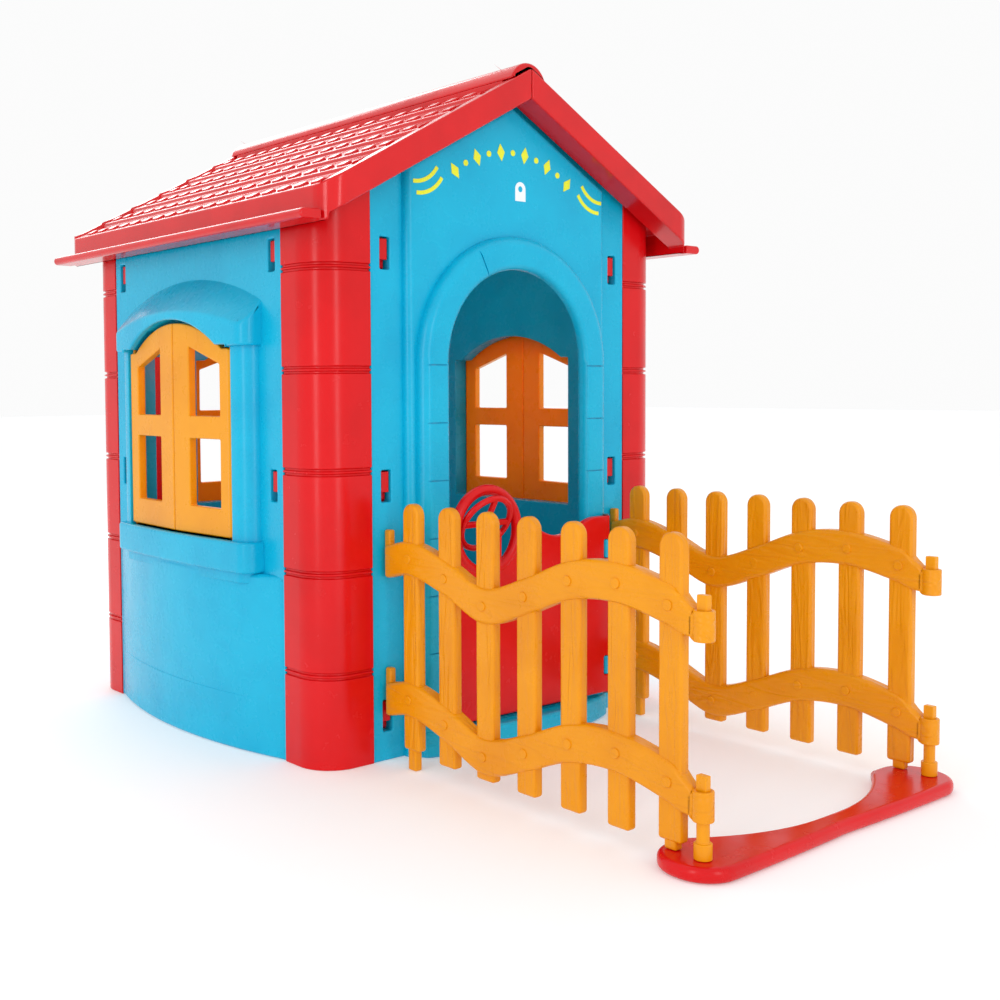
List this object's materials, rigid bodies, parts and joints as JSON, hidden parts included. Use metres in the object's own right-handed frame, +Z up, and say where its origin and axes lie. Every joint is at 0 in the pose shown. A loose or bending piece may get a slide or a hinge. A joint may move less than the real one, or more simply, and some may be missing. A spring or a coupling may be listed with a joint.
{
  "type": "plastic playhouse",
  "caption": "Moulded plastic playhouse with a pitched roof, shuttered windows, an arched doorway with a hinged half door and steering wheel, and a picket-fenced yard.",
  "frame": {"origin": "on the ground under the middle of the whole set's bounding box", "axes": "+Z up; the doorway and yard face -Y; +X is to the right when looking at the doorway from outside"},
  "size_m": [1.066, 1.774, 1.33],
  "materials": {
    "wall_blue": "glossy",
    "post_red": "glossy",
    "roof_red": "glossy",
    "shutter_yellow": "glossy",
    "fence_yellow": "glossy",
    "pin_grey": "satin"
  },
  "bodies": {
    "house": {"front_wall": "wall_blue", "back_wall": "wall_blue", "left_wall": "wall_blue", "right_wall": "wall_blue", "post_front_left": "post_red", "post_front_right": "post_red", "post_back_left": "post_red", "post_back_right": "post_red", "roof_left": "roof_red", "roof_right": "roof_red", "ridge_cap": "roof_red", "fence_left": "fence_yellow", "fence_right": "fence_yellow", "fence_pin_left": "fence_yellow", "fence_pin_right": "fence_yellow", "gate_post_left": "fence_yellow", "gate_post_right": "fence_yellow", "gate_sill": "roof_red", "door_pin_upper": "pin_grey", "door_pin_lower": "pin_grey"},
    "half_door": {"door": "post_red", "steering_axle": "pin_grey", "steering_cap": "shutter_yellow"},
    "wheel": {"steering_wheel": "post_red"},
    "left_shutter_front_leaf": {"left_shutter_front": "shutter_yellow"},
    "left_shutter_back_leaf": {"left_shutter_back": "shutter_yellow"},
    "right_shutter_front_leaf": {"right_shutter_front": "shutter_yellow"},
    "right_shutter_back_leaf": {"right_shutter_back": "shutter_yellow"},
    "back_shutter_left_leaf": {"back_shutter_left": "shutter_yellow"},
    "back_shutter_right_leaf": {"back_shutter_right": "shutter_yellow"}
  },
  "joints": [
    {"name": "door_hinge", "type": "hinge", "parent": "house", "child": "half_door", "pos_m": [0.231, -0.161, 0.2], "axis": [0, 0, 1], "range_deg": [0, 95]},
    {"name": "wheel_spin", "type": "hinge", "parent": "half_door", "child": "wheel", "pos_m": [-0.106, -0.159, 0.437], "axis": [0, 0.866, 0.5], "continuous": true},
    {"name": "left_shutter_back_hinge", "type": "hinge", "parent": "house", "child": "left_shutter_back_leaf", "pos_m": [-0.485, 0.556, 0.595], "axis": [0, 0, 1], "range_deg": [-95, 0]},
    {"name": "left_shutter_front_hinge", "type": "hinge", "parent": "house", "child": "left_shutter_front_leaf", "pos_m": [-0.485, 0.15, 0.595], "axis": [0, 0, 1], "range_deg": [0, 95]},
    {"name": "right_shutter_front_hinge", "type": "hinge", "parent": "house", "child": "right_shutter_front_leaf", "pos_m": [0.485, 0.15, 0.595], "axis": [0, 0, 1], "range_deg": [-95, 0]},
    {"name": "right_shutter_back_hinge", "type": "hinge", "parent": "house", "child": "right_shutter_back_leaf", "pos_m": [0.485, 0.556, 0.595], "axis": [0, 0, 1], "range_deg": [0, 95]},
    {"name": "back_shutter_right_hinge", "type": "hinge", "parent": "house", "child": "back_shutter_right_leaf", "pos_m": [0.203, 0.838, 0.595], "axis": [0, 0, 1], "range_deg": [-95, 0]},
    {"name": "back_shutter_left_hinge", "type": "hinge", "parent": "house", "child": "back_shutter_left_leaf", "pos_m": [-0.203, 0.838, 0.595], "axis": [0, 0, 1], "range_deg": [0, 95]}
  ]
}
